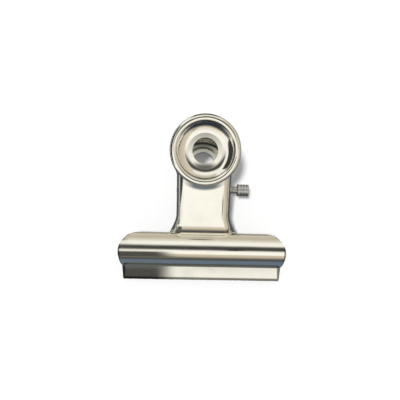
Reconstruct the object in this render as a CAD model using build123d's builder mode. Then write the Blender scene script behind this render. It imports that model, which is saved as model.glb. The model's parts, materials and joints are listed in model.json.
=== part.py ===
from build123d import *
from math import acos, atan2, cos, degrees, hypot, pi, radians, sin, sqrt, tan
import os

# Bulldog clip lying on its back lever: X across the jaws, Y from jaws to pads, Z up.
# Lengths are in millimetres and angles in degrees. Each lever is drawn in its own frame,
# with the hinge axis as origin: x across, y along the neck to the pad, z out of the clip.

# Sheet and stance
sheet = 0.8
crest_rise = 2.3
hinge_depth = 7.5
lever_splay = 13.0
lip_gap = 0.2

# Jaws: a half-round barrel that ends in a flat lip
jaw_width = 57.0
lip_width = 54.6
jaw_reach = 32.0
barrel_reach = 20.9
barrel_radius = 6.7
flank_rise = 0.46
wing_flank = 63.0
crease_radius = 0.6
wing_corner = 5.0
taper_corner = 2.0
lip_corner = 0.8

# Neck: a channel that bends down to the barrel in a flared, rounded foot
neck_width = 18.5
neck_flank = 60.0
neck_bend = 3.0
foot_slope = 26.0
foot_bend = 6.5
flare_radius = 8.0
flare_sweep = 62.0
foot_corner = 4.4
flange_depth = 2.8

# Ears: the parts of the side flanges that carry the hinge pin
ear_radius = 3.3
ear_foot = 9.0
ear_head = 5.0
ear_blend = 2.0
ear_gap = 0.15

# Pads: round dishes with a hanging hole
pad_reach = 13.7
pad_radius = 11.4
rim_radius = 1.15
rim_flat = 0.2
dish_slope = 52.0
dish_bend = 4.2
dish_shoulder = 1.15
skirt_drop = 0.5
hanging_hole_radius = 4.2

# Hinge pin and its grooved knob
pin_radius = 1.2
pin_fit = 0.02
pin_running_gap = 0.06
rivet_radius = 1.9
rivet_height = 0.35
shoulder_radius = 1.9
shoulder_length = 1.2
stem_length = 2.9
spigot_radius = 0.7
spigot_length = 2.6
spigot_fit = 0.01
knob_radius = 2.15
knob_length = 4.0
knob_grooves = 3
groove_width = 0.5
groove_depth = 0.3
knob_edge = 0.25

# Torsion spring
wire_diameter = 1.4
coil_radius = 2.3
coil_half_length = 5.0
coil_turns = 5
leg_slope = 45.0
leg_lead = 1.6
leg_ease = 5.0
leg_bend = 2.0
leg_foot = 2.4
leg_gap = 0.1
arcs_per_turn = 4
spring_samples = 600

# Where the hinge lies in the part's frame
crest_height = hinge_depth + crest_rise
lip_height = lip_gap / 2 + sheet
splay = radians(lever_splay)
front_extent = jaw_reach * cos(splay) + lip_height * sin(splay)
back_extent = pad_reach + pad_radius
hinge_point = Vector(0, (front_extent - back_extent) / 2, crest_height)
hinge_axis = Axis(hinge_point, (1, 0, 0))
back_frame = Plane(hinge_point, x_dir=(-1, 0, 0), z_dir=(0, 0, -1))
front_frame = Plane(hinge_point, x_dir=(1, 0, 0), z_dir=(0, -sin(2 * splay), cos(2 * splay)))
closing_frame = Plane(hinge_point, x_dir=(1, 0, 0), z_dir=(0, -sin(splay), cos(splay)))
lever_span = jaw_reach + pad_reach + pad_radius


def side_view(frame):
    """Plane of a lever's side view: x along the neck, y out of the clip."""
    return Plane(frame.origin, x_dir=frame.y_dir, z_dir=frame.x_dir)


def barrel_point(tilt, inset):
    """Point of the jaw barrel at a tilt from its crest, at a depth below its outer face."""
    across = (barrel_radius - inset) * sin(radians(tilt))
    height = (barrel_radius - inset) * cos(radians(tilt))
    return (across - barrel_reach, height + crest_height - barrel_radius)


def lip_point(reach, inset):
    """Point of the lip at a reach from the hinge, at a depth below its outer face."""
    off_plane = lip_height - inset
    along = off_plane * sin(splay) - reach * cos(splay)
    return (along, off_plane * cos(splay) + reach * sin(splay))


# Where the barrel's arc turns into its straight flank, a little above the lip
barrel_middle = barrel_point(0, barrel_radius)
middle_depth = lip_height - barrel_middle[0] * sin(splay) - barrel_middle[1] * cos(splay)
lip_flank = degrees(acos((middle_depth + flank_rise) / barrel_radius)) - lever_splay


def crease_point(inset):
    """Corner where the barrel's flank would meet the lip without a bend."""
    turn = radians(lip_flank) + splay
    flank = barrel_middle[1] * cos(radians(lip_flank)) - barrel_middle[0] * sin(radians(lip_flank))
    flank += barrel_radius - inset
    return lip_point((flank - (lip_height - inset) * cos(turn)) / sin(turn), inset)


def jaw_line(inset):
    """Side view of the jaw's sheet, at a depth below its outer face, from lip to wing."""
    bend = FilletPolyline(
        lip_point(jaw_reach, inset),
        crease_point(inset),
        barrel_point(-lip_flank, inset),
        radius=crease_radius + inset,
    )
    arc = ThreePointArc(bend @ 1, barrel_point(0, inset), barrel_point(wing_flank, inset))
    return bend, arc


# Foot of the neck, where the flat neck bends down to the barrel's flank
foot_point = barrel_point(neck_flank, 0)
foot_fall = tan(radians(foot_slope))
wing_edge = barrel_point(wing_flank, 0)[0]
foot_root = wing_edge - foot_corner * sin(radians(flare_sweep))
flare_start = wing_edge + flare_radius * sin(radians(flare_sweep))
flare_spread = (flare_radius + foot_corner) * (1 - cos(radians(flare_sweep)))
flange_edge = hinge_depth - flange_depth


def make_neck_block(frame, width, inset):
    """Solid under the neck's sheet, at a depth below its outer face."""
    half = width / 2 - inset
    flat = hinge_depth - inset
    floor = -2 * ear_radius
    foot_inset = inset / cos(radians(foot_slope))
    bend_at = foot_point[0] + (flat + foot_inset - foot_point[1]) / foot_fall
    root_height = flat - (bend_at - foot_root) * foot_fall
    flare = flare_radius + inset
    corner = foot_corner - inset
    foot_side = half + flare_spread

    with BuildPart() as block:
        with BuildSketch(side_view(frame)):
            with BuildLine():
                top = FilletPolyline(
                    (foot_root, root_height),
                    (bend_at, flat),
                    (pad_reach, flat),
                    radius=foot_bend - inset,
                )
                Polyline(top @ 1, (pad_reach, floor), (foot_root, floor), top @ 0)
            make_face()
        extrude(amount=jaw_width / 2, both=True)
        with BuildSketch(frame):
            with BuildLine():
                CenterArc((foot_side - corner, foot_root), corner, 0, flare_sweep)
                CenterArc((half + flare, flare_start), flare, 180, flare_sweep)
                Polyline((half, flare_start), (half, pad_reach), (-half, pad_reach), (-half, flare_start))
                CenterArc((-half - flare, flare_start), flare, 0, -flare_sweep)
                CenterArc((corner - foot_side, foot_root), corner, 180, -flare_sweep)
                Line((-foot_side, foot_root), (foot_side, foot_root))
            make_face()
        extrude(amount=lever_span, both=True, mode=Mode.INTERSECT)
        tops = block.faces().filter_by(lambda f: f.normal_at().dot(frame.z_dir) > 0.5)
        walls = block.faces().filter_by(lambda f: abs(f.normal_at().dot(frame.z_dir)) < 0.1)
        walls = walls.filter_by(lambda f: abs(f.normal_at().dot(frame.y_dir)) < 0.99)
        rims = [edge for edge in tops.edges() if edge in walls.edges()]
        fillet(rims, neck_bend - inset)
    return block.part


def ear_angle(along, side):
    """Angle round the pin where a line from the flange's edge touches the ear."""
    reach = hypot(along, flange_edge)
    return degrees(atan2(flange_edge, along) + side * acos(ear_radius / reach))


def make_neck(frame, block, hollow):
    """Channel of the neck, with its flanges cut to the outline of the ears."""
    flange_middle = ((foot_root + pad_reach) / 2, hinge_depth)
    ear_start = ear_angle(-ear_foot, 1)
    ear_finish = ear_angle(ear_head, -1) + 360

    with BuildPart() as neck:
        add(block)
        add(hollow, mode=Mode.SUBTRACT)
        with BuildSketch(side_view(frame)) as flange:
            with BuildLine():
                ear = CenterArc((0, 0), ear_radius, ear_start, ear_finish - ear_start)
                Polyline(ear @ 1, (ear_head, flange_edge), (-ear_foot, flange_edge), ear @ 0)
            make_face()
            with Locations(flange_middle):
                Rectangle(pad_reach - foot_root, 2 * flange_depth)
            fillet(flange.vertices().sort_by_distance((-ear_foot, flange_edge))[0], ear_blend)
        extrude(amount=jaw_width / 2, both=True, mode=Mode.INTERSECT)
        with BuildSketch(side_view(frame)):
            with Locations(barrel_middle):
                Circle(barrel_radius - sheet)
        extrude(amount=jaw_width / 2, both=True, mode=Mode.SUBTRACT)
        with BuildSketch(frame):
            with Locations((0, pad_reach)):
                Circle(pad_radius - sheet / 2)
        extrude(amount=lever_span, both=True, mode=Mode.SUBTRACT)
    return neck.part


def pad_line(inset):
    """Half section of the pad's dish, at a depth below its outer face, from hole to skirt."""
    mitre = tan(radians(dish_slope) / 2)
    rim_inside = pad_radius - rim_radius - rim_flat - dish_shoulder * mitre
    floor_edge = rim_inside - crest_rise / tan(radians(dish_slope))
    return FilletPolyline(
        (pad_reach + hanging_hole_radius, hinge_depth - inset),
        (pad_reach + floor_edge + inset * mitre, hinge_depth - inset),
        (pad_reach + rim_inside + inset * mitre, crest_height - inset),
        (pad_reach + pad_radius - inset, crest_height - inset),
        (pad_reach + pad_radius - inset, hinge_depth - skirt_drop),
        radius=[dish_bend + inset, dish_shoulder - inset, rim_radius - inset],
    )


def make_lever(frame, width, pin_bore):
    """One lever, stamped from a single sheet: jaw, neck, ears and pad."""
    block = make_neck_block(frame, width, 0)
    hollow = make_neck_block(frame, width, sheet)
    neck = make_neck(frame, block, hollow)
    pad_axis = Axis(frame.from_local_coords((0, pad_reach, 0)), frame.z_dir)
    lip_edge = lip_point(jaw_reach, lip_height)[0]

    with BuildPart() as lever:
        with BuildSketch(side_view(frame)):
            with BuildLine():
                outside = jaw_line(0)
                inside = jaw_line(sheet)
                Line(outside[0] @ 0, inside[0] @ 0)
                Line(outside[1] @ 1, inside[1] @ 1)
            make_face()
        extrude(amount=jaw_width / 2, both=True)
        with BuildSketch(frame):
            with BuildLine():
                FilletPolyline(
                    (-lip_width / 2, lip_edge),
                    (lip_width / 2, lip_edge),
                    (jaw_width / 2, -barrel_reach),
                    (jaw_width / 2, wing_edge),
                    (-jaw_width / 2, wing_edge),
                    (-jaw_width / 2, -barrel_reach),
                    radius=[lip_corner, lip_corner, taper_corner, wing_corner, wing_corner, taper_corner],
                    close=True,
                )
            make_face()
        extrude(amount=lever_span, both=True, mode=Mode.INTERSECT)
        add(hollow, mode=Mode.SUBTRACT)
        add(neck)
        with BuildSketch(side_view(frame)):
            with BuildLine():
                outside = pad_line(0)
                inside = pad_line(sheet)
                Line(outside @ 0, inside @ 0)
                Line(outside @ 1, inside @ 1)
            make_face()
        revolve(axis=pad_axis)
        with BuildSketch(side_view(frame)):
            Circle(pin_bore)
        extrude(amount=jaw_width / 2, both=True, mode=Mode.SUBTRACT)
    return lever


front_lever = make_lever(front_frame, neck_width, pin_radius + pin_fit)
back_width = neck_width - 2 * (sheet + ear_gap)
back_lever = make_lever(back_frame, back_width, pin_radius + pin_running_gap)

# Hinge pin: riveted over on the left, with a conical shoulder, stem and spigot on the right
ear_face = neck_width / 2
stem_end = ear_face + stem_length
rivet_dome = (rivet_radius**2 + rivet_height**2) / (2 * rivet_height)
pin_view = Plane(hinge_point, x_dir=(1, 0, 0), z_dir=(0, -1, 0))

with BuildPart() as hinge_pin:
    with BuildSketch(pin_view):
        with BuildLine():
            RadiusArc((-ear_face - rivet_height, 0), (-ear_face, rivet_radius), rivet_dome)
            Polyline(
                (-ear_face, rivet_radius),
                (-ear_face, pin_radius),
                (ear_face, pin_radius),
                (ear_face, shoulder_radius),
                (ear_face + shoulder_length, pin_radius),
                (stem_end, pin_radius),
                (stem_end, spigot_radius),
                (stem_end + spigot_length, spigot_radius),
                (stem_end + spigot_length, 0),
                (-ear_face - rivet_height, 0),
            )
        make_face()
    revolve(axis=hinge_axis)

# Grooved knob, pushed on the pin's spigot
groove_pitch = knob_length / (knob_grooves + 1)

with BuildPart() as pin_knob:
    with BuildSketch(Plane(hinge_point + (stem_end, 0, 0), x_dir=(0, 1, 0), z_dir=(1, 0, 0))):
        Circle(knob_radius)
        Circle(spigot_radius + spigot_fit, mode=Mode.SUBTRACT)
    extrude(amount=knob_length)
    fillet(pin_knob.edges().filter_by(GeomType.CIRCLE).group_by(SortBy.RADIUS)[-1], knob_edge)
    with BuildSketch(pin_view):
        for groove in range(knob_grooves):
            with Locations((stem_end + groove_pitch * (groove + 1), knob_radius)):
                Rectangle(groove_width, 2 * groove_depth)
    revolve(axis=hinge_axis, mode=Mode.SUBTRACT)


# Torsion spring: a coil round the pin, with a leg under each lever's neck
wire_radius = wire_diameter / 2
leg_height = hinge_depth - sheet - wire_radius - leg_gap
leg_angle = radians(leg_slope)
coil_start = 90 + leg_slope + lever_splay
coil_sweep = 360 * coil_turns + 2 * (180 - coil_start)
coil_arcs = round(coil_sweep / 360 * arcs_per_turn)
coil_lead = 2 * coil_half_length / radians(coil_sweep)
coil_slant = hypot(coil_radius, coil_lead)


def coil_point(turned):
    """Point of the coil's centre line after a turn in degrees."""
    angle = radians(coil_start + turned)
    across = coil_lead * radians(turned) - coil_half_length
    return closing_frame.from_local_coords((across, coil_radius * cos(angle), coil_radius * sin(angle)))


def coil_direction(turned):
    """Direction of the coil's centre line after a turn in degrees."""
    angle = radians(coil_start + turned)
    round_pin = closing_frame.z_dir * cos(angle) - closing_frame.y_dir * sin(angle)
    return (closing_frame.x_dir * coil_lead + round_pin * coil_radius) * (1 / coil_slant)


def biarc(start, start_direction, end, end_direction):
    """Two arcs that leave and arrive in the given directions."""
    chord = end - start
    sum_of_directions = start_direction + end_direction
    square = 2 * start_direction.dot(end_direction) - 2
    linear = -2 * chord.dot(sum_of_directions)
    reach = (-linear - sqrt(linear**2 - 4 * square * chord.dot(chord))) / (2 * square)
    first = start + start_direction * reach
    second = end - end_direction * reach
    middle = (first + second) * 0.5
    TangentArc(start, middle, tangent=start_direction)
    TangentArc(middle, end, tangent=second - first)


def leg_points(frame):
    """Corners of the leg under a lever's neck, from its tip to the coil."""
    across = -coil_half_length
    along = -coil_radius * sin(leg_angle)
    height = coil_radius * cos(leg_angle)
    lead = leg_lead / coil_slant
    lead_across = across - lead * coil_lead
    lead_along = along + lead * coil_radius * cos(leg_angle)
    lead_height = height + lead * coil_radius * sin(leg_angle)
    bend_along = lead_along + (leg_height - lead_height) / tan(leg_angle)
    corners = (
        (lead_across, bend_along + leg_foot, leg_height),
        (lead_across, bend_along, leg_height),
        (lead_across, lead_along, lead_height),
        (across, along, height),
    )
    return [frame.from_local_coords(corner) for corner in corners]


with BuildPart() as torsion_spring:
    with BuildLine() as centre_line:
        FilletPolyline(*leg_points(front_frame), radius=[leg_bend, leg_ease])
        for arc in range(coil_arcs):
            begin = coil_sweep * arc / coil_arcs
            finish = coil_sweep * (arc + 1) / coil_arcs
            biarc(coil_point(begin), coil_direction(begin), coil_point(finish), coil_direction(finish))
        FilletPolyline(*reversed(leg_points(back_frame)), radius=[leg_ease, leg_bend])
    wire = centre_line.wires()[0]
    with BuildSketch(Plane(wire @ 0, z_dir=wire % 0)):
        Circle(wire_radius)
    sweep(path=wire)

# Least gap between neighbouring turns of the spring, measured along its centre line
line_points = [wire @ (step / spring_samples) for step in range(spring_samples + 1)]
half_turn = round(spring_samples * pi * coil_radius / wire.length)
least_distance = min(
    (line_points[far] - line_points[near]).length
    for near in range(spring_samples + 1)
    for far in range(near + half_turn, spring_samples + 1)
)
print(f"least gap of the spring to itself: {least_distance - wire_diameter:.3f} mm")
tube_volume = pi * wire_radius**2 * wire.length
print(f"spring volume {torsion_spring.part.volume:.3f} mm3, section times length {tube_volume:.3f} mm3")

os.makedirs("parts", exist_ok=True)
front_lever.part.label = "front_lever"
export_step(front_lever.part, "parts/front_lever.step")
back_lever.part.label = "back_lever"
export_step(back_lever.part, "parts/back_lever.step")
hinge_pin.part.label = "hinge_pin"
export_step(hinge_pin.part, "parts/hinge_pin.step")
pin_knob.part.label = "pin_knob"
export_step(pin_knob.part, "parts/pin_knob.step")
torsion_spring.part.label = "torsion_spring"
export_step(torsion_spring.part, "parts/torsion_spring.step")
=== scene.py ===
import json
import math

import bmesh
import bpy
from bpy.props import FloatProperty, FloatVectorProperty, IntProperty, PointerProperty
from mathutils import Matrix, Vector


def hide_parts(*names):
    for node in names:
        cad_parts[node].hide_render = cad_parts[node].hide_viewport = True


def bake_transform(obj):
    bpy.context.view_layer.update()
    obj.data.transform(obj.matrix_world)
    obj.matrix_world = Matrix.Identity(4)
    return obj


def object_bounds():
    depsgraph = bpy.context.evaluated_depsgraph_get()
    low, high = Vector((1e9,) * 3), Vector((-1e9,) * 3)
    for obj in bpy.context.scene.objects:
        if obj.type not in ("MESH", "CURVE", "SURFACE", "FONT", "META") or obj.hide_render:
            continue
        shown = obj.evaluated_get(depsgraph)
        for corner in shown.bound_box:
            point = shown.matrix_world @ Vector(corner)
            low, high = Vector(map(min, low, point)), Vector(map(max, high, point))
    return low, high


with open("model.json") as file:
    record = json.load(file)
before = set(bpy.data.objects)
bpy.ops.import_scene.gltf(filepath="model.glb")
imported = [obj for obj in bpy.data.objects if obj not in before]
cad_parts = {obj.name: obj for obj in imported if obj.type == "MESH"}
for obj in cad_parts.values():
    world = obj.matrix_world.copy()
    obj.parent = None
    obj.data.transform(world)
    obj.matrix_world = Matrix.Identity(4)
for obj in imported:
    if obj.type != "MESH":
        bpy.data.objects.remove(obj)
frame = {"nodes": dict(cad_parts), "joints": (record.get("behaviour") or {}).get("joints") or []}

bl_info = {
    "name": "Bulldog Clip",
    "version": (1, 0, 0),
    "blender": (4, 5, 0),
    "location": "View3D > Sidebar > Bulldog Clip",
    "description": "Gives the packed bulldog clip its finishes, winds its spring and sets the studio",
    "category": "Object",
}

MILLIMETRE = 0.001

cad_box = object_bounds()
hinge = Vector(frame["joints"][0]["pos_m"])

# Sizes of a lever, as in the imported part
LEVER_SPLAY = math.radians(13.0)
PAD_REACH = 13.7 * MILLIMETRE
PAD_RADIUS = 11.4 * MILLIMETRE
JAW_REACH = 32.0 * MILLIMETRE
JAW_WIDTH = 57.0 * MILLIMETRE
LIP_WIDTH = 54.6 * MILLIMETRE
LIP_DEPTH = 4.6 * MILLIMETRE

# Colours of the studio round the clip, which only the metal shows
BLUE_CLOTH = (0.15, 0.20, 0.28)
DARK_FELT = (0.10, 0.115, 0.125)
SIDE_DUSK = (0.10, 0.105, 0.11)

# Panels over the middle of the clip, from behind to before it: degrees from overhead, and grey or colour
OVERHEAD_PANELS = (
    (-110, 0.40),
    (-76, (0.70, 0.67, 0.62)),
    (-55, (0.60, 0.55, 0.45)),
    (-45, (0.68, 0.64, 0.56)),
    (-35, (0.84, 0.82, 0.76)),
    (-24, 1.08),
    (-12, 1.12),
    (-5, 0.72),
    (-1, 0.22),
    (4, 0.07),
    (15, 0.06),
    (20, 0.22),
    (24, 0.80),
    (27, 1.10),
    (34, 1.18),
    (42, 1.15),
    (52, 1.0),
    (66, (0.92, 0.89, 0.82)),
    (74, (0.78, 0.74, 0.66)),
    (84, (0.42, 0.39, 0.34)),
    (92, (0.15, 0.16, 0.17)),
)

# Panels beside the middle, from the far left to the far right: place, and grey or colour
SIDE_PANELS = (
    (0.0, 0.9),
    (0.25, 1.12),
    (0.5, 1.0),
    (0.72, (0.80, 0.74, 0.65)),
    (1.0, (0.60, 0.55, 0.48)),
)

# Bands of the mat and the left card from front to back, and of the card before the clip from its foot up
LEFT_BANDS = (
    (0.0, 0.085),
    (1.0, 0.08),
)
MAT_BANDS = (
    (0.0, BLUE_CLOTH),
    (0.20, BLUE_CLOTH),
    (0.26, DARK_FELT),
)
FRONT_BANDS = (
    (0.0, BLUE_CLOTH),
    (0.15, BLUE_CLOTH),
    (0.21, (0.08, 0.09, 0.10)),
    (0.39, 0.11),
    (0.52, (0.38, 0.35, 0.29)),
    (0.66, (0.66, 0.59, 0.50)),
    (0.9, (0.76, 0.68, 0.57)),
)


def lever_axes(turn):
    """Directions along and out of a lever that is turned about the hinge from the back one."""
    along = Vector((0.0, math.cos(turn), math.sin(turn)))
    out = Vector((0.0, -math.sin(turn), math.cos(turn)))
    return along, out


def from_jaws(x, y, z):
    """Point or direction in the frame of the closed jaws, in millimetres from the hinge."""
    along, out = lever_axes(LEVER_SPLAY)
    return (Vector((x, 0.0, 0.0)) + along * y + out * z) * MILLIMETRE


# Settings that a user would change


class ClipFinish(bpy.types.PropertyGroup):
    """Colours and polish of the clip's metals"""

    nickel_colour: FloatVectorProperty(
        name="Nickel",
        description="Colour of the nickel plating on both levers",
        subtype="COLOR",
        size=3,
        min=0.0,
        max=1.0,
        default=(0.83, 0.80, 0.70),
    )
    tarnish_colour: FloatVectorProperty(
        name="Tarnish",
        description="Colour of the plating where it has dulled",
        subtype="COLOR",
        size=3,
        min=0.0,
        max=1.0,
        default=(0.54, 0.49, 0.39),
    )
    # The levers' inner faces are drawn in this colour, darker than the outer plating
    inside_colour: FloatVectorProperty(
        name="Inside",
        description="Colour of the thinner plating on the levers' inner faces",
        subtype="COLOR",
        size=3,
        min=0.0,
        max=1.0,
        default=(0.50, 0.49, 0.42),
    )
    # Painted shade and painted dark reflection: the pad's crease and the wall of its dish are darkened with
    # this colour
    pad_shade_colour: FloatVectorProperty(
        name="Crease Shade",
        description="Colour of the dark tarnish in the creases of a pad",
        subtype="COLOR",
        size=3,
        min=0.0,
        max=1.0,
        default=(0.11, 0.125, 0.135),
    )
    # Painted shadow: the dark line along the jaws' edges is drawn in this colour
    edge_shadow_colour: FloatVectorProperty(
        name="Edges",
        description="Colour of the steel at the edges of the jaws, where the plating is worn thin",
        subtype="COLOR",
        size=3,
        min=0.0,
        max=1.0,
        default=(0.10, 0.098, 0.08),
    )
    nickel_roughness: FloatProperty(
        name="Nickel Roughness",
        description="Roughness of clean plating",
        subtype="FACTOR",
        min=0.0,
        max=1.0,
        default=0.085,
    )
    knob_colour: FloatVectorProperty(
        name="Knob Steel",
        description="Colour of the turned steel of the pin and its knob",
        subtype="COLOR",
        size=3,
        min=0.0,
        max=1.0,
        default=(0.60, 0.60, 0.58),
    )
    spring_colour: FloatVectorProperty(
        name="Spring Wire",
        description="Colour of the drawn spring wire",
        subtype="COLOR",
        size=3,
        min=0.0,
        max=1.0,
        default=(0.40, 0.39, 0.37),
    )


class ClipSpring(bpy.types.PropertyGroup):
    """Sizes of the torsion spring on the hinge pin"""

    wire_diameter: FloatProperty(
        name="Wire Diameter",
        description="Thickness of the spring wire",
        subtype="DISTANCE",
        unit="LENGTH",
        default=1.4 * MILLIMETRE,
    )
    coil_radius: FloatProperty(
        name="Coil Radius",
        description="Radius of the coil at the middle of the wire",
        subtype="DISTANCE",
        unit="LENGTH",
        default=2.3 * MILLIMETRE,
    )
    coil_length: FloatProperty(
        name="Coil Length",
        description="Length of the coil along the pin, between the middles of its end turns",
        subtype="DISTANCE",
        unit="LENGTH",
        default=10.0 * MILLIMETRE,
    )
    leg_height: FloatProperty(
        name="Leg Height",
        description="Distance from the pin's axis to the middle of a leg under its neck",
        subtype="DISTANCE",
        unit="LENGTH",
        default=5.9 * MILLIMETRE,
    )
    leg_foot: FloatProperty(
        name="Leg Foot",
        description="Length of a leg's straight end",
        subtype="DISTANCE",
        unit="LENGTH",
        default=2.4 * MILLIMETRE,
    )
    turns: IntProperty(
        name="Turns",
        description="Whole turns of the coil",
        min=1,
        default=5,
    )


class ClipStudio(bpy.types.PropertyGroup):
    """Camera, floor and light of the studio"""

    floor_colour: FloatVectorProperty(
        name="Floor",
        description="Colour of the pale studio floor",
        subtype="COLOR",
        size=3,
        min=0.0,
        max=1.0,
        default=(0.86, 0.86, 0.86),
    )
    camera_distance: FloatProperty(
        name="Camera Distance",
        description="Distance from the camera to the point it looks at",
        subtype="DISTANCE",
        unit="LENGTH",
        default=90.0 * MILLIMETRE,
    )
    camera_lens: FloatProperty(
        name="Camera Lens",
        description="Focal length of the camera, in millimetres on a 36 mm sensor",
        unit="CAMERA",
        default=23.787,
    )
    camera_tilt: FloatProperty(
        name="Camera Tilt",
        description="Lean of the camera from the normal of the closed jaws, towards the lips",
        subtype="ANGLE",
        unit="ROTATION",
        default=math.radians(2.386),
    )
    camera_swing: FloatProperty(
        name="Camera Swing",
        description="Swing of the camera to the right of the clip's middle",
        subtype="ANGLE",
        unit="ROTATION",
        default=math.radians(-1.332),
    )
    camera_roll: FloatProperty(
        name="Camera Roll",
        description="Turn of the camera about its own line of sight",
        subtype="ANGLE",
        unit="ROTATION",
        default=math.radians(1.327),
    )
    key_strength: FloatProperty(
        name="Key Lamp",
        description="Strength of the even lamp above the clip, in watts per square metre",
        default=2.55,
    )
    key_angle: FloatProperty(
        name="Key Lamp Spread",
        description="Spread of the lamp's light, which softens the shadow",
        subtype="ANGLE",
        unit="ROTATION",
        default=math.radians(7.5),
    )


# Node helpers


def new_group(name, inputs, outputs):
    """Empty shader node group with named sockets, and its input and output nodes."""
    group = bpy.data.node_groups.new(name, "ShaderNodeTree")
    for label, kind, default in inputs:
        socket = group.interface.new_socket(label, in_out="INPUT", socket_type=kind)
        socket.default_value = default
    for label, kind in outputs:
        group.interface.new_socket(label, in_out="OUTPUT", socket_type=kind)
    return group, group.nodes.new("NodeGroupInput"), group.nodes.new("NodeGroupOutput")


def add_node(tree, kind, links=None, **settings):
    """New node in a tree, with its settings, and its inputs linked or set."""
    node = tree.nodes.new(kind)
    for name, value in settings.items():
        setattr(node, name, value)
    for socket, source in (links or {}).items():
        if isinstance(source, bpy.types.NodeSocket):
            tree.links.new(source, node.inputs[socket])
        else:
            node.inputs[socket].default_value = source
    return node


def place_group(tree, name, make, links):
    """Outputs of a shared effect placed in a material. It is built the first time it is asked for."""
    group = bpy.data.node_groups.get(name) or make(name)
    return add_node(tree, "ShaderNodeGroup", links, node_tree=group).outputs


def math_node(tree, operation, *values):
    """Output of a math node on sockets or numbers."""
    return add_node(tree, "ShaderNodeMath", dict(enumerate(values)), operation=operation).outputs[0]


def product_node(tree, *values):
    """Product of two or more masks."""
    product = values[0]
    for value in values[1:]:
        product = math_node(tree, "MULTIPLY", product, value)
    return product


def vector_node(tree, operation, *values):
    """Output of a vector math node on sockets or vectors, a value where the operation gives one."""
    node = add_node(tree, "ShaderNodeVectorMath", dict(enumerate(values)), operation=operation)
    return node.outputs["Value" if operation in {"DOT_PRODUCT", "LENGTH"} else "Vector"]


def split_node(tree, vector):
    """Outputs X, Y and Z of a vector."""
    return add_node(tree, "ShaderNodeSeparateXYZ", {0: vector}).outputs


def smooth_node(tree, value, start, end):
    """Smooth step from 0 at the start to 1 at the end, which may be the lower of the two."""
    links = {"Value": value, "From Min": start, "From Max": end}
    return add_node(tree, "ShaderNodeMapRange", links, interpolation_type="SMOOTHSTEP").outputs[0]


def mix_node(tree, factor, first, second):
    """Mix of two colours, each a socket or a plain colour."""
    links = {"Factor": factor}
    for name, colour in (("A", first), ("B", second)):
        links[name] = colour if isinstance(colour, bpy.types.NodeSocket) else (*colour, 1.0)
    return add_node(tree, "ShaderNodeMix", links, data_type="RGBA").outputs["Result"]


def ramp_node(tree, factor, stops):
    """Colour ramp through stops, each a position and a grey or colour."""
    node = add_node(tree, "ShaderNodeValToRGB", {0: factor})
    elements = node.color_ramp.elements
    while len(elements) < len(stops):
        elements.new(0.5)
    for element, (position, value) in zip(elements, stops):
        colour = (value,) * 3 if isinstance(value, float) else value
        element.position = position
        element.color = (*colour, 1.0)
    return node.outputs["Color"]


def bump_node(tree, height, distance, strength=1.0, normal=None):
    """Normal of a surface that a height raises, over the plain normal or over another bump's."""
    links = {"Height": height, "Distance": distance, "Strength": strength}
    if normal is not None:
        links["Normal"] = normal
    return add_node(tree, "ShaderNodeBump", links).outputs["Normal"]


def seen_node(tree):
    """1 for a ray from the camera, from metal or through glass, and 0 for any other."""
    path = add_node(tree, "ShaderNodeLightPath").outputs
    mirrored = math_node(tree, "MAXIMUM", path["Is Glossy Ray"], path["Is Transmission Ray"])
    return math_node(tree, "MAXIMUM", path["Is Camera Ray"], mirrored)


# Shared effects


def make_hairlines(name):
    """Fine polishing lines that run in one direction of the object's space."""
    shallow, deep = 0.60, 0.74
    group, inlet, outlet = new_group(
        name,
        (("Vector", "NodeSocketVector", (0.0, 0.0, 0.0)), ("Stretch", "NodeSocketVector", (1.0, 1.0, 1.0))),
        (("Height", "NodeSocketFloat"), ("Mask", "NodeSocketFloat")),
    )
    stretched = vector_node(group, "MULTIPLY", inlet.outputs["Vector"], inlet.outputs["Stretch"])
    texture = {"Vector": stretched, "Scale": 1.0, "Detail": 3.0, "Roughness": 0.6}
    lines = add_node(group, "ShaderNodeTexNoise", texture).outputs["Fac"]
    group.links.new(lines, outlet.inputs["Height"])
    group.links.new(smooth_node(group, lines, shallow, deep), outlet.inputs["Mask"])
    return group


def make_patina(name):
    """Cloudy dulling with small specks, as handled plating has."""
    clear, cloudy = 0.42, 0.72
    specks_per_cloud = 9.0
    speck_edge, speck_middle = 0.16, 0.06
    group, inlet, outlet = new_group(
        name,
        (("Vector", "NodeSocketVector", (0.0, 0.0, 0.0)), ("Cloud Scale", "NodeSocketFloat", 150.0)),
        (("Clouds", "NodeSocketFloat"), ("Specks", "NodeSocketFloat")),
    )
    place, cloud_scale = inlet.outputs["Vector"], inlet.outputs["Cloud Scale"]
    clouds = add_node(group, "ShaderNodeTexNoise", {"Vector": place, "Scale": cloud_scale, "Detail": 4.0})
    speck_scale = math_node(group, "MULTIPLY", cloud_scale, specks_per_cloud)
    dots = add_node(group, "ShaderNodeTexVoronoi", {"Vector": place, "Scale": speck_scale})
    veil = smooth_node(group, clouds.outputs["Fac"], clear, cloudy)
    specks = smooth_node(group, dots.outputs["Distance"], speck_edge, speck_middle)
    group.links.new(veil, outlet.inputs["Clouds"])
    group.links.new(specks, outlet.inputs["Specks"])
    return group


def crease_shade_mask(group, facing, radius, across):
    """Painted shade in the crease just outside the pad, on the middle of the neck's outer face."""
    seam = 0.05 * MILLIMETRE
    dark, clear = PAD_RADIUS + 0.9 * MILLIMETRE, PAD_RADIUS + 1.9 * MILLIMETRE
    neck_middle, neck_side = 3.0 * MILLIMETRE, 8.0 * MILLIMETRE
    sideways, outward = 0.5, 0.9
    return product_node(
        group,
        smooth_node(group, radius, PAD_RADIUS - seam, PAD_RADIUS + seam),
        smooth_node(group, radius, clear, dark),
        smooth_node(group, facing, sideways, outward),
        smooth_node(group, across, neck_side, neck_middle),
    )


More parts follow.
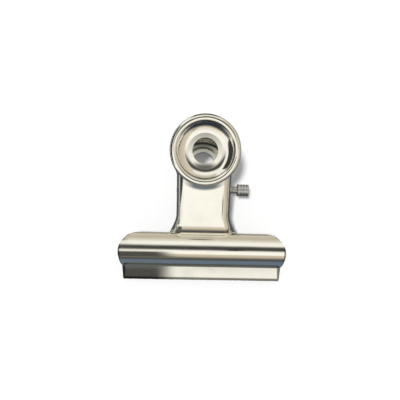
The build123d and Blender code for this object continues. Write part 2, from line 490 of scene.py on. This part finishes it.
def dish_reflection_mask(group, facing, radius, run):
    """Painted dark reflection on the steep wall of the dish between its floor and its rim, on the side of
    the lever's end.
    """
    floor_edge, wall_foot = 6.0 * MILLIMETRE, 7.0 * MILLIMETRE
    wall_top, rim_edge = 9.3 * MILLIMETRE, 9.7 * MILLIMETRE
    dish_side, lever_end = 5.0 * MILLIMETRE, 8.0 * MILLIMETRE
    level, steep = 0.92, 0.74
    return product_node(
        group,
        smooth_node(group, radius, floor_edge, wall_foot),
        smooth_node(group, radius, rim_edge, wall_top),
        smooth_node(group, facing, level, steep),
        smooth_node(group, run, dish_side, lever_end),
    )


def edge_shadow_mask(group, across, run):
    """Painted shadow along the edges of the jaw: the front and the ends of its lip, and the ends of its
    barrel.
    """
    shadow_width, blend = 0.3 * MILLIMETRE, 0.5 * MILLIMETRE
    front_round = 0.5 * MILLIMETRE
    lip_blend = 0.2 * MILLIMETRE
    tip = -PAD_REACH - JAW_REACH * math.cos(LEVER_SPLAY)
    front_shadowed = tip + front_round + shadow_width
    lip_back = tip + LIP_DEPTH
    lip_shadowed, barrel_shadowed = LIP_WIDTH / 2 - shadow_width, JAW_WIDTH / 2 - shadow_width
    front = smooth_node(group, run, front_shadowed + blend, front_shadowed)
    on_lip = smooth_node(group, run, lip_back + lip_blend, lip_back - lip_blend)
    lip_end = product_node(group, smooth_node(group, across, lip_shadowed - blend, lip_shadowed), on_lip)
    barrel_end = smooth_node(group, across, barrel_shadowed - blend, barrel_shadowed)
    return math_node(group, "MAXIMUM", front, math_node(group, "MAXIMUM", lip_end, barrel_end))


def make_lever_faces(name):
    """Masks of a lever's inner faces, of the painted shade in its pad's crease and the painted dark
    reflection on its dish wall, and of the painted shadow along its jaw's edges.
    """
    sideways, inward = -0.05, -0.35
    group, inlet, outlet = new_group(
        name,
        (
            ("Vector", "NodeSocketVector", (0.0, 0.0, 0.0)),
            ("Normal", "NodeSocketVector", (0.0, 0.0, 1.0)),
            ("Outward", "NodeSocketVector", (0.0, 0.0, 1.0)),
            ("Along", "NodeSocketVector", (0.0, 1.0, 0.0)),
            ("Pad Centre", "NodeSocketVector", (0.0, 0.0, 0.0)),
        ),
        (
            ("Inner", "NodeSocketFloat"),
            ("Crease Shade", "NodeSocketFloat"),
            ("Dish Reflection", "NodeSocketFloat"),
            ("Edge Shadow", "NodeSocketFloat"),
        ),
    )
    outward = inlet.outputs["Outward"]
    facing = vector_node(group, "DOT_PRODUCT", inlet.outputs["Normal"], outward)
    offset = vector_node(group, "SUBTRACT", inlet.outputs["Vector"], inlet.outputs["Pad Centre"])
    height = vector_node(group, "PROJECT", offset, outward)
    radius = vector_node(group, "LENGTH", vector_node(group, "SUBTRACT", offset, height))
    run = vector_node(group, "DOT_PRODUCT", offset, inlet.outputs["Along"])
    across = math_node(group, "ABSOLUTE", split_node(group, offset)["X"])
    group.links.new(smooth_node(group, facing, sideways, inward), outlet.inputs["Inner"])
    group.links.new(crease_shade_mask(group, facing, radius, across), outlet.inputs["Crease Shade"])
    group.links.new(dish_reflection_mask(group, facing, radius, run), outlet.inputs["Dish Reflection"])
    group.links.new(edge_shadow_mask(group, across, run), outlet.inputs["Edge Shadow"])
    return group


# Materials


def new_material(name):
    """Material with its node tree, its Principled BSDF and its texture coordinates."""
    material = bpy.data.materials.new(name)
    material.use_nodes = True
    tree = material.node_tree
    shader = tree.nodes["Principled BSDF"]
    coordinates = add_node(tree, "ShaderNodeTexCoord").outputs
    return material, tree, shader, coordinates


def make_nickel(name, finish, along, outward):
    """Bright nickel plating on pressed sheet, a little dulled and rubbed, and duller inside, with painted
    shade in the pad's crease, a painted dark reflection on the dish wall and a painted shadow along the
    jaw's edges.
    """
    cloud_scale = 160.0
    rub_stretch = (120.0, 5200.0, 5200.0)
    cloud_share, speck_share, pad_shade_share, edge_shadow_share = 0.10, 0.25, 0.96, 0.90
    cloud_roughness, rub_roughness, inside_roughness = 0.06, 0.08, 0.10
    wave_scale, wave_height, wave_strength = 95.0, 0.22 * MILLIMETRE, 0.35
    scratch_height, scratch_strength = 0.004 * MILLIMETRE, 0.25
    material, tree, shader, coordinates = new_material(name)
    place = coordinates["Object"]
    patina = place_group(tree, "Patina", make_patina, {"Vector": place, "Cloud Scale": cloud_scale})
    rub = place_group(tree, "Hairlines", make_hairlines, {"Vector": place, "Stretch": rub_stretch})
    lever = {
        "Vector": place,
        "Normal": coordinates["Normal"],
        "Outward": outward,
        "Along": along,
        "Pad Centre": hinge + along * PAD_REACH,
    }
    faces = place_group(tree, "Lever Faces", make_lever_faces, lever)

    dull = math_node(tree, "MULTIPLY", patina["Clouds"], cloud_share)
    stain = math_node(tree, "MULTIPLY", patina["Specks"], speck_share)
    tint = math_node(tree, "MAXIMUM", dull, stain)
    creases = math_node(tree, "MAXIMUM", faces["Crease Shade"], faces["Dish Reflection"])
    plated = mix_node(tree, tint, finish.nickel_colour, finish.tarnish_colour)
    lined = mix_node(tree, faces["Inner"], plated, finish.inside_colour)
    # Painted shade in the pad's crease and painted dark reflection on its dish wall
    pad_shaded = mix_node(
        tree, math_node(tree, "MULTIPLY", creases, pad_shade_share), lined, finish.pad_shade_colour
    )
    # Painted shadow along the jaw's edges
    colour = mix_node(
        tree, math_node(tree, "MULTIPLY", faces["Edge Shadow"], edge_shadow_share), pad_shaded, finish.edge_shadow_colour
    )

    roughness = math_node(tree, "MULTIPLY_ADD", patina["Clouds"], cloud_roughness, finish.nickel_roughness)
    roughness = math_node(tree, "MULTIPLY_ADD", rub["Mask"], rub_roughness, roughness)
    roughness = math_node(tree, "MULTIPLY_ADD", faces["Inner"], inside_roughness, roughness)

    waves = add_node(tree, "ShaderNodeTexNoise", {"Vector": place, "Scale": wave_scale, "Detail": 1.0})
    rippled = bump_node(tree, waves.outputs["Fac"], wave_height, wave_strength)
    outer = math_node(tree, "SUBTRACT", 1.0, faces["Inner"])
    scratches = math_node(tree, "MULTIPLY", rub["Height"], outer)
    scratched = bump_node(tree, scratches, scratch_height, scratch_strength, rippled)

    shader.inputs["Metallic"].default_value = 1.0
    tree.links.new(colour, shader.inputs["Base Color"])
    tree.links.new(roughness, shader.inputs["Roughness"])
    tree.links.new(scratched, shader.inputs["Normal"])
    return material


def make_turned_steel(name, colour, stretch, smoothest):
    """Dull drawn or turned steel, with fine lines left by the tool."""
    cloud_scale, cloud_shade = 420.0, 0.72
    line_roughness = 0.15
    line_height, line_strength = 0.02 * MILLIMETRE, 0.3
    material, tree, shader, coordinates = new_material(name)
    place = coordinates["Object"]
    patina = place_group(tree, "Patina", make_patina, {"Vector": place, "Cloud Scale": cloud_scale})
    lines = place_group(tree, "Hairlines", make_hairlines, {"Vector": place, "Stretch": stretch})
    shade = math_node(tree, "MULTIPLY_ADD", patina["Clouds"], cloud_shade - 1.0, 1.0)
    roughness = math_node(tree, "MULTIPLY_ADD", lines["Mask"], line_roughness, smoothest)
    grooved = bump_node(tree, lines["Height"], line_height, line_strength)
    shader.inputs["Metallic"].default_value = 1.0
    tree.links.new(vector_node(tree, "MULTIPLY", colour, shade), shader.inputs["Base Color"])
    tree.links.new(roughness, shader.inputs["Roughness"])
    tree.links.new(grooved, shader.inputs["Normal"])
    return material


def make_floor(colour):
    """Matt pale floor that reads as white and keeps the clip's shadow."""
    grain_scale, grain_height = 900.0, 0.01 * MILLIMETRE
    lift = 0.12
    material, tree, shader, coordinates = new_material("studio_floor")
    grain = add_node(tree, "ShaderNodeTexNoise", {"Vector": coordinates["Object"], "Scale": grain_scale})
    shader.inputs["Base Color"].default_value = (*colour, 1.0)
    shader.inputs["Roughness"].default_value = 0.9
    shader.inputs["Specular IOR Level"].default_value = 0.0
    shader.inputs["Emission Color"].default_value = (1.0, 1.0, 1.0, 1.0)
    tree.links.new(math_node(tree, "MULTIPLY", seen_node(tree), lift), shader.inputs["Emission Strength"])
    tree.links.new(bump_node(tree, grain.outputs["Fac"], grain_height), shader.inputs["Normal"])
    return material


def light_only(shader):
    """Makes a shader give out the light of its Emission Color and nothing else."""
    shader.inputs["Base Color"].default_value = (0.0, 0.0, 0.0, 1.0)
    shader.inputs["Specular IOR Level"].default_value = 0.0
    shader.inputs["Emission Strength"].default_value = 1.0


def make_dome():
    """Soft panels of a studio: bright ones overhead with a dark gap, and dusk near the floor."""
    dusk_height, panel_height = 0.06, 0.26
    middle_edge, side_edge = 0.34, 0.46
    material, tree, shader, coordinates = new_material("studio_dome")
    aim = split_node(tree, vector_node(tree, "NORMALIZE", coordinates["Object"]))
    forward = math_node(tree, "MULTIPLY", aim["Y"], -1.0)
    angle = math_node(tree, "ARCTAN2", forward, aim["Z"])
    turn = math_node(tree, "MULTIPLY_ADD", angle, 1.0 / (2 * math.pi), 0.5)
    middle = ramp_node(tree, turn, [(degrees / 360.0 + 0.5, shade) for degrees, shade in OVERHEAD_PANELS])
    across = math_node(tree, "MULTIPLY_ADD", aim["X"], 0.5, 0.5)
    raised = smooth_node(tree, aim["Z"], dusk_height, panel_height)
    sides = mix_node(tree, raised, SIDE_DUSK, ramp_node(tree, across, SIDE_PANELS))
    aside = smooth_node(tree, math_node(tree, "ABSOLUTE", aim["X"]), middle_edge, side_edge)
    light_only(shader)
    tree.links.new(mix_node(tree, aside, middle, sides), shader.inputs["Emission Color"])
    return material


def make_card(name, across, along, shade, fade):
    """Card that is seen from its face alone and fades out at its sides and its far end.

    Its shade is one grey, or bands along it.
    """
    material, tree, shader, coordinates = new_material(name)
    place = split_node(tree, coordinates["Generated"])
    sides = smooth_node(tree, math_node(tree, "PINGPONG", place[across], 0.5), 0.0, fade)
    end = smooth_node(tree, place[along], 1.0, 1.0 - fade)
    reverse = add_node(tree, "ShaderNodeNewGeometry").outputs["Backfacing"]
    face = math_node(tree, "SUBTRACT", 1.0, reverse)
    light_only(shader)
    if isinstance(shade, float):
        shader.inputs["Emission Color"].default_value = (shade, shade, shade, 1.0)
    else:
        tree.links.new(ramp_node(tree, place[along], shade), shader.inputs["Emission Color"])
    tree.links.new(product_node(tree, sides, end, face), shader.inputs["Alpha"])
    return material


def dress(node, material):
    """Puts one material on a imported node."""
    mesh = frame["nodes"][node].data
    mesh.materials.clear()
    mesh.materials.append(material)


# Pieces


class CLIP_OT_levers(bpy.types.Operator):
    """Put the nickel plating on both levers"""

    bl_idname = "clip.levers"
    bl_label = "Plate Levers"

    def execute(self, context):
        finish = context.scene.clip_finish
        along, out = lever_axes(2 * LEVER_SPLAY)
        dress("front_lever", make_nickel("nickel_front_lever", finish, along, out))
        along, out = lever_axes(0.0)
        dress("back_lever", make_nickel("nickel_back_lever", finish, along, -out))
        return {"FINISHED"}


class CLIP_OT_pin(bpy.types.Operator):
    """Put the turned steel on the hinge pin and its knob"""

    bl_idname = "clip.pin"
    bl_label = "Finish Pin and Knob"

    def execute(self, context):
        turning_lines = (9000.0, 300.0, 300.0)
        roughness = 0.34
        colour = context.scene.clip_finish.knob_colour
        steel = make_turned_steel("turned_steel", colour, turning_lines, roughness)
        dress("hinge_pin", steel)
        dress("pin_knob", steel)
        return {"FINISHED"}


def spring_points(sizes):
    """Control points of the spring's centre line, from the front leg's tip to the back leg's."""
    points_per_turn = 16
    slope = math.radians(45.0)
    lead = 1.6 * MILLIMETRE
    half = sizes.coil_length / 2
    start = math.pi / 2 + slope + LEVER_SPLAY
    sweep = 2 * math.pi * sizes.turns + 2 * (math.pi - start)
    pitch = sizes.coil_length / sweep
    slant = math.hypot(sizes.coil_radius, pitch)

    # Where a leg leaves the coil, and where it bends to lie under its neck
    run = sizes.coil_radius * (math.cos(slope) * lead / slant - math.sin(slope))
    height = sizes.coil_radius * (math.sin(slope) * lead / slant + math.cos(slope))
    bend = run + (sizes.leg_height - height) / math.tan(slope)
    offset = half + pitch * lead / slant

    def leg(side, turn):
        """Points of one leg from its tip to the coil, at the left end (-1) or the right end (1)."""
        along, up = lever_axes(turn)
        corners = (
            (bend + sizes.leg_foot, sizes.leg_height),
            (bend + sizes.leg_foot / 2, sizes.leg_height),
            (bend, sizes.leg_height),
            ((bend + run) / 2, (sizes.leg_height + height) / 2),
            (run, height),
        )
        return [hinge + Vector((side * offset, 0, 0)) + along * v - up * side * w for v, w in corners]

    # The curve runs inside its control points, so these stand a little outside the coil
    radius = sizes.coil_radius * 3.0 / (2.0 + math.cos(2 * math.pi / points_per_turn))
    count = round(sweep / (2 * math.pi) * points_per_turn)
    along, up = lever_axes(LEVER_SPLAY)
    coil = []
    for step in range(1, count):
        turned = sweep * step / count
        across = Vector((pitch * turned - half, 0, 0))
        angle = start + turned
        coil.append(hinge + across + along * radius * math.cos(angle) + up * radius * math.sin(angle))
    return leg(-1, 2 * LEVER_SPLAY) + coil + leg(1, 0.0)[::-1]


def wind_wire(context, sizes):
    """Mesh of a round wire along the spring's centre line."""
    points = spring_points(sizes)
    curve = bpy.data.curves.new("spring_path", "CURVE")
    curve.dimensions = "3D"
    curve.bevel_depth = sizes.wire_diameter / 2
    curve.bevel_resolution = 6
    curve.resolution_u = 6
    curve.use_fill_caps = True
    spline = curve.splines.new("NURBS")
    spline.points.add(len(points) - 1)
    for point, place in zip(spline.points, points):
        point.co = (*place, 1.0)
    spline.order_u = 4
    spline.use_endpoint_u = True
    path = bpy.data.objects.new("spring_path", curve)
    context.scene.collection.objects.link(path)
    context.view_layer.update()
    mesh = bpy.data.meshes.new_from_object(path.evaluated_get(context.evaluated_depsgraph_get()))
    bpy.data.objects.remove(path)
    for face in mesh.polygons:
        face.use_smooth = True
    return mesh


class CLIP_OT_spring(bpy.types.Operator):
    """Wind the torsion spring as one smooth wire"""

    bl_idname = "clip.spring"
    bl_label = "Wind Spring"

    def execute(self, context):
        drawing_lines = (700.0, 2600.0, 2600.0)
        roughness = 0.24
        sizes = context.scene.clip_spring
        colour = context.scene.clip_finish.spring_colour
        mesh = wind_wire(context, sizes)
        mesh.materials.clear()
        mesh.materials.append(make_turned_steel("drawn_wire", colour, drawing_lines, roughness))
        wire = bpy.data.objects.new("spring_wire", mesh)
        context.scene.collection.objects.link(wire)
        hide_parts("torsion_spring")
        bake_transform(wire)
        return {"FINISHED"}


# Studio


def rectangle(first, second):
    """Corners of a rectangle, as pairs of two coordinates whose ends are given."""
    return (
        (first[0], second[0]),
        (first[1], second[0]),
        (first[1], second[1]),
        (first[0], second[1]),
    )


def flat_mesh(name, corners):
    """Mesh of one face. Its front is the side from which its corners run anticlockwise."""
    mesh = bpy.data.meshes.new(name)
    mesh.from_pydata(corners, [], [(0, 1, 2, 3)])
    return mesh


def add_floor(scene, studio):
    """Large pale floor under the clip."""
    ends = (-3.0, 3.0)
    mesh = flat_mesh("floor", [(x, y, 0.0) for x, y in rectangle(ends, ends)])
    mesh.materials.append(make_floor(studio.floor_colour))
    floor = bpy.data.objects.new("floor", mesh)
    floor.location.z = cad_box[0].z
    scene.collection.objects.link(floor)


def add_world(scene):
    """White background, and an even dim light on everything."""
    dim, white = 0.28, 1.0
    world = bpy.data.worlds.new("studio")
    scene.world = world
    world.use_nodes = True
    tree = world.node_tree
    tree.nodes.clear()
    level = math_node(tree, "MULTIPLY_ADD", seen_node(tree), white - dim, dim)
    background = add_node(
        tree, "ShaderNodeBackground", {"Color": (1.0, 1.0, 1.0, 1.0), "Strength": level}
    )
    add_node(tree, "ShaderNodeOutputWorld", {"Surface": background.outputs[0]})


def add_reflector(scene, name, mesh, material):
    """Staged mesh that only the metal sees."""
    mesh.materials.append(material)
    reflector = bpy.data.objects.new(name, mesh)
    reflector.visible_camera = False
    reflector.visible_diffuse = False
    reflector.visible_shadow = False
    scene.collection.objects.link(reflector)
    return reflector


def add_dome(scene):
    """Dome of soft panels round the clip."""
    radius, lowest = 2.0, -0.3
    shell = bmesh.new()
    bmesh.ops.create_uvsphere(shell, u_segments=48, v_segments=24, radius=radius)
    under = [corner for corner in shell.verts if corner.co.z < lowest]
    bmesh.ops.delete(shell, geom=under, context="VERTS")
    mesh = bpy.data.meshes.new("dome")
    shell.to_mesh(mesh)
    shell.free()
    dome = add_reflector(scene, "dome", mesh, make_dome())
    dome.location = hinge


def add_card(scene, name, corners, across, along, shade, fade):
    """Flat card with four corners."""
    add_reflector(scene, name, flat_mesh(name, corners), make_card(name, across, along, shade, fade))


def add_level_card(scene, name, height, x, y, shade, fade):
    """Card that lies level over the closed jaws and looks down, in millimetres from the hinge."""
    corners = [hinge + from_jaws(across, along, height) for along, across in rectangle(y, x)]
    add_card(scene, name, corners, "X", "Y", shade, fade)


def add_cards(scene):
    """Cards that give the metal its dark edges and bands: a mat, and cards round and over the clip."""
    floor = cad_box[0].z + 0.2 * MILLIMETRE
    front = cad_box[0].y - 42.0 * MILLIMETRE
    back = cad_box[1].y + 90.0 * MILLIMETRE
    side = 150.0 * MILLIMETRE
    top = 62.0 * MILLIMETRE
    mat = [(x, y, floor) for x, y in rectangle((-side, side), (front, back))]
    add_card(scene, "mat_card", mat, "X", "Y", shade=MAT_BANDS, fade=0.12)
    tall = [(x, front, z) for x, z in rectangle((side, -side), (floor, top))]
    add_card(scene, "front_card", tall, "X", "Z", shade=FRONT_BANDS, fade=0.12)

    behind = cad_box[1].y + 14.0 * MILLIMETRE
    half = 14.0 * MILLIMETRE
    low, high = 20.0 * MILLIMETRE, 44.0 * MILLIMETRE
    narrow = [(x, behind, z) for x, z in rectangle((-half, half), (low, high))]
    add_card(scene, "back_card", narrow, "X", "Z", shade=0.05, fade=0.15)

    add_level_card(scene, "left_card", height=35, x=(-72, -9.5), y=(-66, -29.5), shade=LEFT_BANDS, fade=0.18)
    left = -50.0
    beside = [hinge + from_jaws(left, y, z) for y, z in rectangle((-20.0, 54.0), (17.0, 70.0))]
    add_card(scene, "side_card", beside, "Y", "Z", shade=0.045, fade=0.08)
    add_level_card(scene, "neck_card", height=40, x=(11, 23), y=(-27, -14.5), shade=0.05, fade=0.45)
    add_level_card(scene, "pad_card", height=18, x=(-7, 7), y=(0.4, 6.2), shade=0.16, fade=0.36)


def add_key_lamp(scene, studio):
    """Soft even lamp from the upper left, for the floor and its shadow."""
    lamp = bpy.data.lights.new("key", "SUN")
    lamp.angle = studio.key_angle
    lamp.energy = studio.key_strength
    key = bpy.data.objects.new("key", lamp)
    place = from_jaws(x=-360.0, y=58.0, z=1500.0)
    key.location = hinge + place
    key.rotation_euler = (-place).to_track_quat("-Z", "Y").to_euler()
    key.visible_glossy = False
    scene.collection.objects.link(key)


def add_camera(scene, studio):
    """Camera close above the front lever."""
    target = hinge + from_jaws(x=-1.235, y=-4.053, z=5.0)
    tilt, swing, roll = studio.camera_tilt, studio.camera_swing, studio.camera_roll
    back = from_jaws(
        math.sin(swing) * math.cos(tilt), -math.sin(tilt), math.cos(tilt) * math.cos(swing)
    ).normalized()
    right = from_jaws(0.0, 1.0, 0.0).cross(back).normalized()
    up = back.cross(right)
    rolled_right = right * math.cos(roll) + up * math.sin(roll)
    rolled_up = up * math.cos(roll) - right * math.sin(roll)
    place = target + back * studio.camera_distance
    camera = bpy.data.cameras.new("camera")
    camera.lens = studio.camera_lens
    camera.sensor_width = 36.0
    camera.clip_start = 0.005
    camera.clip_end = 20.0
    eye = bpy.data.objects.new("camera", camera)
    eye.matrix_world = Matrix(
        [[rolled_right[i], rolled_up[i], back[i], place[i]] for i in range(3)] + [[0, 0, 0, 1]]
    )
    scene.collection.objects.link(eye)
    scene.camera = eye


class CLIP_OT_studio(bpy.types.Operator):
    """Set the floor, the soft light and the camera"""

    bl_idname = "clip.studio"
    bl_label = "Set Studio"

    def execute(self, context):
        scene = context.scene
        studio = scene.clip_studio
        scene.view_settings.view_transform = "Standard"
        add_floor(scene, studio)
        add_world(scene)
        add_dome(scene)
        add_cards(scene)
        add_key_lamp(scene, studio)
        add_camera(scene, studio)
        return {"FINISHED"}


class CLIP_PT_sidebar(bpy.types.Panel):
    """Buttons and settings of the bulldog clip"""

    bl_idname = "CLIP_PT_sidebar"
    bl_label = "Bulldog Clip"
    bl_space_type = "VIEW_3D"
    bl_region_type = "UI"
    bl_category = "Bulldog Clip"

    def draw(self, context):
        layout = self.layout
        for operator in (CLIP_OT_levers, CLIP_OT_pin, CLIP_OT_spring, CLIP_OT_studio):
            layout.operator(operator.bl_idname)
        for settings in (context.scene.clip_finish, context.scene.clip_spring, context.scene.clip_studio):
            box = layout.box()
            for name in settings.__annotations__:
                box.prop(settings, name)


CLASSES = (
    ClipFinish,
    ClipSpring,
    ClipStudio,
    CLIP_OT_levers,
    CLIP_OT_pin,
    CLIP_OT_spring,
    CLIP_OT_studio,
    CLIP_PT_sidebar,
)


def register():
    for cls in CLASSES:
        bpy.utils.register_class(cls)
    bpy.types.Scene.clip_finish = PointerProperty(type=ClipFinish)
    bpy.types.Scene.clip_spring = PointerProperty(type=ClipSpring)
    bpy.types.Scene.clip_studio = PointerProperty(type=ClipStudio)


def unregister():
    del bpy.types.Scene.clip_studio
    del bpy.types.Scene.clip_spring
    del bpy.types.Scene.clip_finish
    for cls in reversed(CLASSES):
        bpy.utils.unregister_class(cls)


def main():
    """Builds the whole scene."""
    register()
    bpy.ops.clip.levers()
    bpy.ops.clip.pin()
    bpy.ops.clip.spring()
    bpy.ops.clip.studio()


if __name__ == "__main__":
    main()
